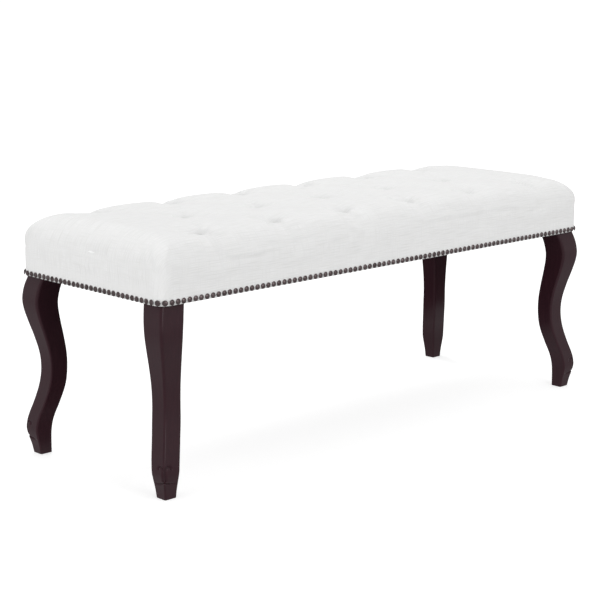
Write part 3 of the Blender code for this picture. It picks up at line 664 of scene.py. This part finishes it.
# Slubby linen: off-white, matt, a plain weave with thick and thin threads both ways. The weave is drawn
# at 1.8 mm, over twice the real thread spacing, so that it shows.
WEAVE = 0.0018
SLUB_WIDTH = 0.0018
SLUB_LENGTH = 0.045
FAINTER_SLUBS = 0.75
linen, tree, shader = new_finish(
    "slubby linen", Roughness=1.0, Specular_IOR_Level=0.05, Sheen_Weight=0.12, Sheen_Roughness=0.6)
map_node = add_node(tree, "ShaderNodeUVMap", {"uv_map": "threads"})
weave = []
slubs = []
for direction, size in (
    ("X", (1 / SLUB_WIDTH, 1 / SLUB_LENGTH, 1)), ("Y", (1 / SLUB_LENGTH, 1 / SLUB_WIDTH, 1)),
):
    weave.append(add_node(
        tree, "ShaderNodeTexWave",
        {"bands_direction": direction, "Scale": math.tau / 20 / WEAVE, "Distortion": 0.6,
         "Detail": 1.0, "Detail Scale": 0.3},
        {"Vector": map_node.outputs["UV"]}))
    drawn = add_node(tree, "ShaderNodeMapping", {"Scale": size}, {"Vector": map_node.outputs["UV"]})
    noise = add_node(tree, "ShaderNodeTexNoise", {"Scale": 1.0, "Detail": 2.0},
                     {"Vector": drawn.outputs["Vector"]})
    slubs.append(add_node(tree, "ShaderNodeMapRange", {"From Min": 0.35, "From Max": 0.72},
                          {"Value": noise.outputs["Fac"]}))
crossed = add_node(tree, "ShaderNodeMath", {"operation": "MULTIPLY"},
                   {0: weave[0].outputs["Fac"], 1: weave[1].outputs["Fac"]})
faint = add_node(tree, "ShaderNodeMath", {"operation": "MULTIPLY", 1: FAINTER_SLUBS},
                 {0: slubs[0].outputs["Result"]})
streaks = add_node(tree, "ShaderNodeMath", {"operation": "MAXIMUM"},
                   {0: faint.outputs["Value"], 1: slubs[1].outputs["Result"]})
thick = add_node(tree, "ShaderNodeMath", {"operation": "ADD"},
                 {0: crossed.outputs["Value"], 1: streaks.outputs["Value"]})
tint = add_node(tree, "ShaderNodeMix", {"data_type": "RGBA", 6: linear("e8e8e8"), 7: linear("dbdbda")},
                {0: streaks.outputs["Value"]})
gaps = add_node(tree, "ShaderNodeMix",
                {"data_type": "RGBA", "blend_type": "MULTIPLY", 0: 0.06},
                {6: tint.outputs[2], 7: crossed.outputs["Value"]})
relief = add_node(tree, "ShaderNodeBump", {"Strength": 0.2, "Distance": 0.0006},
                  {"Height": thick.outputs["Value"]})
tree.links.new(gaps.outputs[2], shader.inputs["Base Color"])
tree.links.new(relief.outputs["Normal"], shader.inputs["Normal"])
cover.data.materials.append(linen)
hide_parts("seat_cover")
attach(cover, "root")
reach = 2 * (roll_arc + wall_drop + TURN_UNDER - ROLL_WIDTH)

# --- Buttons ----------------------------------------------------------------------------------------
# Linen-covered buttons, each drawn down by a twine through the foam and deck, and knotted under the deck.
BUTTON_HEIGHT = 0.0065
TWINE_RADIUS = 0.001
KNOT_RADIUS = 0.005
KNOT_HEIGHT = 0.0025


def turn_piece(name, profile, segments, place=(0, 0, 0)):
    """A turned shape: a circle carried through the profile's (radius, height) steps, closed at the ends."""
    bpy.ops.object.select_all(action="DESELECT")
    radius, level = profile[0]
    bpy.ops.mesh.primitive_circle_add(
        vertices=segments, radius=radius, fill_type="TRIFAN", location=(0, 0, 0))
    piece = bpy.context.object
    piece.name = name
    piece.data.name = name
    bpy.ops.object.mode_set(mode="EDIT")
    bpy.ops.mesh.select_all(action="SELECT")
    bpy.ops.transform.translate(value=(place[0], place[1], place[2] + level))
    bpy.ops.mesh.region_to_loop()
    for wider, higher in profile[1:]:
        bpy.ops.mesh.extrude_edges_move()
        bpy.ops.transform.translate(value=(0, 0, higher - level))
        bpy.ops.transform.resize(value=(wider / radius, wider / radius, 1), center_override=place)
        radius, level = wider, higher
    bpy.ops.mesh.edge_face_add()
    bpy.ops.mesh.poke()
    bpy.ops.object.mode_set(mode="OBJECT")
    face_out(piece, 40)
    return piece


low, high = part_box("tuft_button_01")
button_base = high[2] - BUTTON_HEIGHT
knot_base = low[2]
button = turn_piece("covered_button", [
    (0.0012, high[2]), (0.0035, high[2] - 0.0002), (0.0058, high[2] - 0.0008),
    (0.0076, high[2] - 0.0018), (0.0088, high[2] - 0.0031), (0.0093, high[2] - 0.0043),
    (0.0092, high[2] - 0.0053), (0.0084, high[2] - 0.0060), (0.0060, button_base),
    (TWINE_RADIUS, button_base), (TWINE_RADIUS, (button_base + knot_base) / 2),
    (TWINE_RADIUS, knot_base + KNOT_HEIGHT), (0.0030, knot_base + KNOT_HEIGHT),
    (0.0045, knot_base + 0.0020), (KNOT_RADIUS, knot_base + 0.0012), (0.0042, knot_base + 0.0004),
    (0.0020, knot_base),
], 28)
for i, (x, y) in enumerate(tufts):
    copy = button if i == 16 else button.copy()
    if i < 16:
        copy.data = button.data.copy()
        bpy.context.scene.collection.objects.link(copy)
    copy.name = f"covered_button_{i + 1:02d}"
    places = read_places(copy)
    write_places(copy, places + np.array([x, y, 0]))
    lay_threads(copy, places[:, :2] * 1.15 + 0.013 * i)
    copy.data.materials.append(linen)
    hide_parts(f"tuft_button_{i + 1:02d}")
    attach(copy, "root")

# --- Dust cover -------------------------------------------------------------------------------------
# Black cambric under the seat, notched round the legs, with its edge folded in. Its staples are left out.
LEG_NAMES = ("leg_front_left", "leg_front_right", "leg_back_left", "leg_back_right")
HEM_FOLD = 0.012
HEM_STEP = 0.00025
CAMBRIC_THICKNESS = 0.0003
CAMBRIC_WEAVE = 0.001
NOTCH_GAP = 0.002
dust_high = Vector(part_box("dust_cover")[1])
leg_low = Vector(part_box("leg_back_right")[0])
notch_x, notch_y = leg_low.x - NOTCH_GAP, leg_low.y - NOTCH_GAP

bpy.ops.object.select_all(action="DESELECT")
bpy.ops.mesh.primitive_plane_add(size=2, location=(0, 0, 0))
dust_cover = bpy.context.object
dust_cover.name = "dust_cover_cambric"
bpy.ops.object.mode_set(mode="EDIT")
bpy.ops.transform.resize(value=(dust_high.x, dust_high.y, 1), center_override=(0, 0, 0))
bpy.ops.transform.translate(value=(0, 0, dust_high.z))
for place, way in (((notch_x, 0, 0), (1, 0, 0)), ((-notch_x, 0, 0), (1, 0, 0)),
                   ((0, notch_y, 0), (0, 1, 0)), ((0, -notch_y, 0), (0, 1, 0))):
    bpy.ops.mesh.select_all(action="SELECT")
    bpy.ops.mesh.bisect(plane_co=place, plane_no=way)
bpy.ops.mesh.select_mode(type="FACE")
bpy.ops.mesh.select_all(action="DESELECT")
bpy.ops.object.mode_set(mode="OBJECT")
for face in dust_cover.data.polygons:
    face.select = abs(face.center.x) > notch_x and abs(face.center.y) > notch_y
bpy.ops.object.mode_set(mode="EDIT")
bpy.ops.mesh.delete(type="FACE")
bpy.ops.mesh.select_all(action="SELECT")
bpy.ops.mesh.inset(thickness=HEM_FOLD, depth=0)
bpy.ops.mesh.select_all(action="INVERT")
bpy.ops.mesh.extrude_region_move()
bpy.ops.transform.translate(value=(0, 0, -HEM_STEP))
bpy.ops.object.mode_set(mode="OBJECT")
face_out(dust_cover, 30)
apply_modifier(dust_cover, "SOLIDIFY", thickness=CAMBRIC_THICKNESS, offset=0.0)
places = read_places(dust_cover)
lay_threads(dust_cover, places[:, :2])

# Cambric: black, papery and matt, a fine close weave drawn at 1 mm.
cambric, tree, shader = new_finish("black cambric", Roughness=0.9, Specular_IOR_Level=0.2)
map_node = add_node(tree, "ShaderNodeUVMap", {"uv_map": "threads"})
weft = add_node(tree, "ShaderNodeTexWave",
                {"bands_direction": "X", "Scale": math.tau / 20 / CAMBRIC_WEAVE},
                {"Vector": map_node.outputs["UV"]})
warp = add_node(tree, "ShaderNodeTexWave",
                {"bands_direction": "Y", "Scale": math.tau / 20 / CAMBRIC_WEAVE},
                {"Vector": map_node.outputs["UV"]})
crossed = add_node(tree, "ShaderNodeMath", {"operation": "MULTIPLY"},
                   {0: weft.outputs["Fac"], 1: warp.outputs["Fac"]})
tint = add_node(tree, "ShaderNodeMix", {"data_type": "RGBA", 6: linear("222124"), 7: linear("38363a")},
                {0: crossed.outputs["Value"]})
relief = add_node(tree, "ShaderNodeBump", {"Strength": 0.3, "Distance": 0.0002},
                  {"Height": crossed.outputs["Value"]})
tree.links.new(tint.outputs[2], shader.inputs["Base Color"])
tree.links.new(relief.outputs["Normal"], shader.inputs["Normal"])
dust_cover.data.materials.append(cambric)
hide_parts("dust_cover")
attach(dust_cover, "root")
width, length = 2 * dust_high.y, 2 * dust_high.x

# --- Nail trim --------------------------------------------------------------------------------------
# Domed nails in antique bronze, driven by hand through the cloth into the rails, almost edge to edge
# round the bottom of the wall. Each side's row turns half of both corners.
NAIL_PITCH = 0.0135
HEAD_RADIUS = 0.0055
HEAD_HEIGHT = 0.0024
PIN_RADIUS = 0.0008
PIN_LENGTH = 0.012
NAIL_SEED = 5
nail_low, nail_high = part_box("nail_trim_front")
nail_level = (nail_low[2] + nail_high[2]) / 2
nail_stand = -HALF_DEPTH - nail_low[1]


def rim_place(half_side, half_other, walk):
    """A place on the side that faces -Y, by the distance walked from its middle, and its normal."""
    straight = half_side - CORNER_RADIUS
    angle = max(0.0, (abs(walk) - straight) / CORNER_RADIUS)
    x = min(abs(walk), straight) + CORNER_RADIUS * math.sin(angle)
    y = -half_other + CORNER_RADIUS * (1 - math.cos(angle))
    return (Vector((math.copysign(x, walk), y, 0)),
            Vector((math.copysign(math.sin(angle), walk), -math.cos(angle), 0)))


head = turn_piece("nail_head", [
    (0.0010, HEAD_HEIGHT), (0.0026, 0.0021), (0.0041, 0.0015), (0.0051, 0.0008), (HEAD_RADIUS, 0.0001),
    (PIN_RADIUS, 0.0001), (PIN_RADIUS, -PIN_LENGTH),
], 12)
chance = np.random.default_rng(NAIL_SEED)

# Antique bronze: dark brown, rubbed lighter in places, with a satin shine.
bronze, tree, shader = new_finish("antique bronze", Metallic=1.0)
place = add_node(tree, "ShaderNodeTexCoord", {})
patina = add_node(tree, "ShaderNodeTexNoise", {"Scale": 0.5 / 0.004, "Detail": 4.0},
                  {"Vector": place.outputs["Object"]})
tint = add_node(tree, "ShaderNodeMix", {"data_type": "RGBA", 6: linear("2e2526"), 7: linear("75696a")},
                {0: patina.outputs["Fac"]})
rubbed = add_node(tree, "ShaderNodeMapRange", {"To Min": 0.45, "To Max": 0.25},
                  {"Value": patina.outputs["Fac"]})
relief = add_node(tree, "ShaderNodeBump", {"Strength": 0.3, "Distance": 0.0002},
                  {"Height": patina.outputs["Fac"]})
tree.links.new(tint.outputs[2], shader.inputs["Base Color"])
tree.links.new(rubbed.outputs["Result"], shader.inputs["Roughness"])
tree.links.new(relief.outputs["Normal"], shader.inputs["Normal"])

for side, half_side, half_other, quarter_turns in (
    ("front", HALF_LENGTH, HALF_DEPTH, 0), ("right", HALF_DEPTH, HALF_LENGTH, 1),
    ("back", HALF_LENGTH, HALF_DEPTH, 2), ("left", HALF_DEPTH, HALF_LENGTH, 3),
):
    path = 2 * (half_side - CORNER_RADIUS) + CORNER_RADIUS * math.pi / 2
    count = round(path / NAIL_PITCH)
    out = nail_stand - HEAD_HEIGHT
    # The heads, each a little out of line, as a hand sets them.
    heads = []
    for i in range(count):
        walk = (i + 0.5) * path / count - path / 2 + chance.normal(0, 0.0002)
        place, normal = rim_place(half_side, half_other, walk)
        copy = head.copy()
        copy.data = head.data.copy()
        bpy.context.scene.collection.objects.link(copy)
        tilted = (normal + Vector(chance.normal(0, 0.025, 3))).normalized()
        facing = tilted.to_track_quat("Z", "Y").to_matrix().to_4x4()
        facing.translation = place + normal * out + Vector((0, 0, nail_level + chance.normal(0, 0.00012)))
        copy.data.transform(facing)
        heads.append(copy)
    bpy.ops.object.select_all(action="DESELECT")
    for piece in heads:
        piece.select_set(True)
    trim = heads[0]
    bpy.context.view_layer.objects.active = trim
    bpy.ops.object.join()
    trim.name = f"nail_trim_{side}_bronze"
    places = read_places(trim)
    for turn in range(quarter_turns):
        places = places[:, [1, 0, 2]] * [-1, 1, 1]
    write_places(trim, places)
    trim.data.materials.append(bronze)
    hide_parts(f"nail_trim_{side}")
    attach(trim, "root")
bpy.data.objects.remove(head)

# --- Legs -------------------------------------------------------------------------------------------
# Solid beech cabriole legs, square in section: a knee that stands out, a waist, and a carved foot that
# turns out again. Shaped along the diagonal, stained espresso and lacquered satin.
LEG_SIDE = 0.054
LEG_STEP = 0.0024
FOOT_STEP = 0.0011
FOOT_TOP = 0.086
ARRIS_RADIUS = 0.0050
TOE_ROUNDING = 0.0010
# The glides are pressed into the feet, almost flush.
FOOT_BOTTOM = 0.0004
FACE_CUTS = 19
ARCH_LEVEL = 0.0595
ARCH_RADIUS = 0.0065
ARCH_FROM_ARRIS = 0.0105
BRACE_LEVEL = 0.0375
BRACE_LENGTH = 0.028
BRACE_FADE = 0.010
GROOVE_WIDTH = 0.0017
GROOVE_DEPTH = 0.0024
FACE_MARGIN = 0.0022

# The leg's outline: how far its square section reaches at each height of the frame's leg.
rings = {}
for vertex in nodes["leg_front_left"].data.vertices:
    rings.setdefault(round(vertex.co.z, 4), []).append((vertex.co.x, vertex.co.y))
outline = []
for level in sorted(rings):
    ring = np.array(rings[level])
    size = np.ptp(ring[:, 0])
    if size > 0.015:
        outline.append((level, ring[:, 0].min(), ring[:, 0].max(), ring[:, 1].min(), ring[:, 1].max()))
outline = np.array(outline)
foot_level, top_level = FOOT_BOTTOM, outline[-1, 0]


def smooth_outline(levels):
    """The section's low and high x and y at these heights, on smooth curves through the outline."""
    known = outline[:, 0]
    slot_number = np.clip(np.searchsorted(known, levels) - 1, 0, len(known) - 2)
    gap = known[slot_number + 1] - known[slot_number]
    t = (levels - known[slot_number]) / gap
    curves = []
    for column in outline[:, 1:].T:
        slope = np.gradient(column, known)
        start, end = column[slot_number], column[slot_number + 1]
        leave, arrive = slope[slot_number] * gap, slope[slot_number + 1] * gap
        curves.append((2 * t ** 3 - 3 * t ** 2 + 1) * start + (t ** 3 - 2 * t ** 2 + t) * leave
                      + (3 * t ** 2 - 2 * t ** 3) * end + (t ** 3 - t ** 2) * arrive)
    return np.array(curves)


levels = np.concatenate([
    foot_level + np.array([0.0, 0.0002, 0.0006]),
    np.arange(foot_level + TOE_ROUNDING, FOOT_TOP, FOOT_STEP),
    np.linspace(FOOT_TOP, top_level, round((top_level - FOOT_TOP) / LEG_STEP)),
])
low_x, high_x, low_y, high_y = smooth_outline(levels)
climb = np.clip(1 - (levels - foot_level) / TOE_ROUNDING, 0, 1)
rounding = TOE_ROUNDING * (1 - np.sqrt(1 - climb ** 2))

bpy.ops.object.select_all(action="DESELECT")
bpy.ops.mesh.primitive_plane_add(size=1, location=(0, 0, 0))
leg = bpy.context.object
leg.name = "leg_front_left_stained"
bpy.ops.object.mode_set(mode="EDIT")
bpy.ops.mesh.select_all(action="SELECT")
bpy.ops.mesh.bevel(offset=ARRIS_RADIUS / LEG_SIDE, segments=4, affect="VERTICES", clamp_overlap=False)
bpy.ops.mesh.select_mode(type="EDGE")
bpy.ops.mesh.select_all(action="DESELECT")
bpy.ops.object.mode_set(mode="OBJECT")
for edge in leg.data.edges:
    ends = [leg.data.vertices[i].co for i in edge.vertices]
    edge.select = (ends[0] - ends[1]).length > 0.5
bpy.ops.object.mode_set(mode="EDIT")
bpy.ops.mesh.subdivide(number_cuts=FACE_CUTS)
bpy.ops.mesh.select_mode(type="FACE")
bpy.ops.mesh.select_all(action="SELECT")
sides_x, sides_y = high_x - low_x - 2 * rounding, high_y - low_y - 2 * rounding
middles_x, middles_y = (low_x + high_x) / 2, (low_y + high_y) / 2
bpy.ops.transform.resize(value=(sides_x[0], sides_y[0], 1), center_override=(0, 0, 0))
bpy.ops.transform.translate(value=(middles_x[0], middles_y[0], levels[0]))
for i in range(1, len(levels)):
    bpy.ops.mesh.extrude_region_move()
    bpy.ops.transform.resize(value=(sides_x[i] / sides_x[i - 1], sides_y[i] / sides_y[i - 1], 1),
                             center_override=(middles_x[i - 1], middles_y[i - 1], 0))
    bpy.ops.transform.translate(value=(
        middles_x[i] - middles_x[i - 1], middles_y[i] - middles_y[i - 1], levels[i] - levels[i - 1]))
bpy.ops.object.mode_set(mode="OBJECT")

# Carving on the two outer faces: an arch beside the arris with a groove down from it, and a brace below.
places = read_places(leg)
z = places[:, 2]
edge_x, edge_y = (np.interp(z, levels, row) for row in (low_x, low_y))
for face, other in ((0, 1), (1, 0)):
    surface, arris = (edge_x, edge_y) if face == 0 else (edge_y, edge_x)
    on_face = np.abs(places[:, face] - surface) < FACE_MARGIN
    across = places[:, other] - arris
    reach = np.hypot(across - ARCH_FROM_ARRIS, z - ARCH_LEVEL)
    arch = np.where(z > ARCH_LEVEL, np.abs(reach - ARCH_RADIUS),
                    np.where(z > BRACE_LEVEL + 0.002, np.abs(across - (ARCH_FROM_ARRIS - ARCH_RADIUS)), 1))
    brace = np.abs(z - (BRACE_LEVEL - 0.006 * (1 - np.exp(-np.clip(across, 0, 1) / 0.006))))
    run_out = np.clip((BRACE_LENGTH - across) / BRACE_FADE, 0, 1)
    cut = np.maximum(np.exp(-(arch / GROOVE_WIDTH) ** 2), run_out * np.exp(-(brace / GROOVE_WIDTH) ** 2))
    places[:, face] += GROOVE_DEPTH * cut * on_face
write_places(leg, places)
face_out(leg, 40)

# Espresso stain under satin lacquer: near black with a red-brown cast, and faint grain along the leg.
lacquer, tree, shader = new_finish(
    "espresso stained beech", Specular_IOR_Level=0.17, Coat_Weight=0.06, Coat_Roughness=0.2)
grain = wood_figure(tree, shader, 2, 0.0015, "33181f", "240f17")
sheen = add_node(tree, "ShaderNodeMapRange", {"To Min": 0.34, "To Max": 0.46},
                 {"Value": grain.outputs["Fac"]})
tree.links.new(sheen.outputs["Result"], shader.inputs["Roughness"])

for i, name in enumerate(reversed(LEG_NAMES)):
    copy = leg if name == "leg_front_left" else leg.copy()
    if copy is not leg:
        copy.data = leg.data.copy()
        bpy.context.scene.collection.objects.link(copy)
        copy.name = f"{name}_stained"
        bpy.ops.object.select_all(action="DESELECT")
        copy.select_set(True)
        bpy.context.view_layer.objects.active = copy
        bpy.ops.object.mode_set(mode="EDIT")
        bpy.ops.mesh.select_all(action="SELECT")
        bpy.ops.transform.resize(
            value=(-1 if "right" in name else 1, -1 if "back" in name else 1, 1), center_override=(0, 0, 0))
        bpy.ops.object.mode_set(mode="OBJECT")
        face_out(copy, 40)
    copy.data.materials.append(lacquer)
    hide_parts(name)
    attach(copy, "root")

# --- Foot glides ------------------------------------------------------------------------------------
# Moulded nylon nail-in glides under the feet keep their own shape. Dark brown, smooth and slightly waxy.
nylon, tree, shader = new_finish("moulded nylon", IOR=1.53)
place = add_node(tree, "ShaderNodeTexCoord", {})
mottle = add_node(tree, "ShaderNodeTexNoise", {"Scale": 0.5 / 0.002, "Detail": 3.0},
                  {"Vector": place.outputs["Object"]})
tint = add_node(tree, "ShaderNodeMix", {"data_type": "RGBA", 6: linear("2c2522"), 7: linear("3c3330")},
                {0: mottle.outputs["Fac"]})
wear = add_node(tree, "ShaderNodeMapRange", {"To Min": 0.4, "To Max": 0.6},
                {"Value": mottle.outputs["Fac"]})
tree.links.new(tint.outputs[2], shader.inputs["Base Color"])
tree.links.new(wear.outputs["Result"], shader.inputs["Roughness"])
paint(nylon, *(n for n in nodes if n.startswith("foot_glide_")))

# --- Sizes ------------------------------------------------------------------------------------------
low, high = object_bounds()
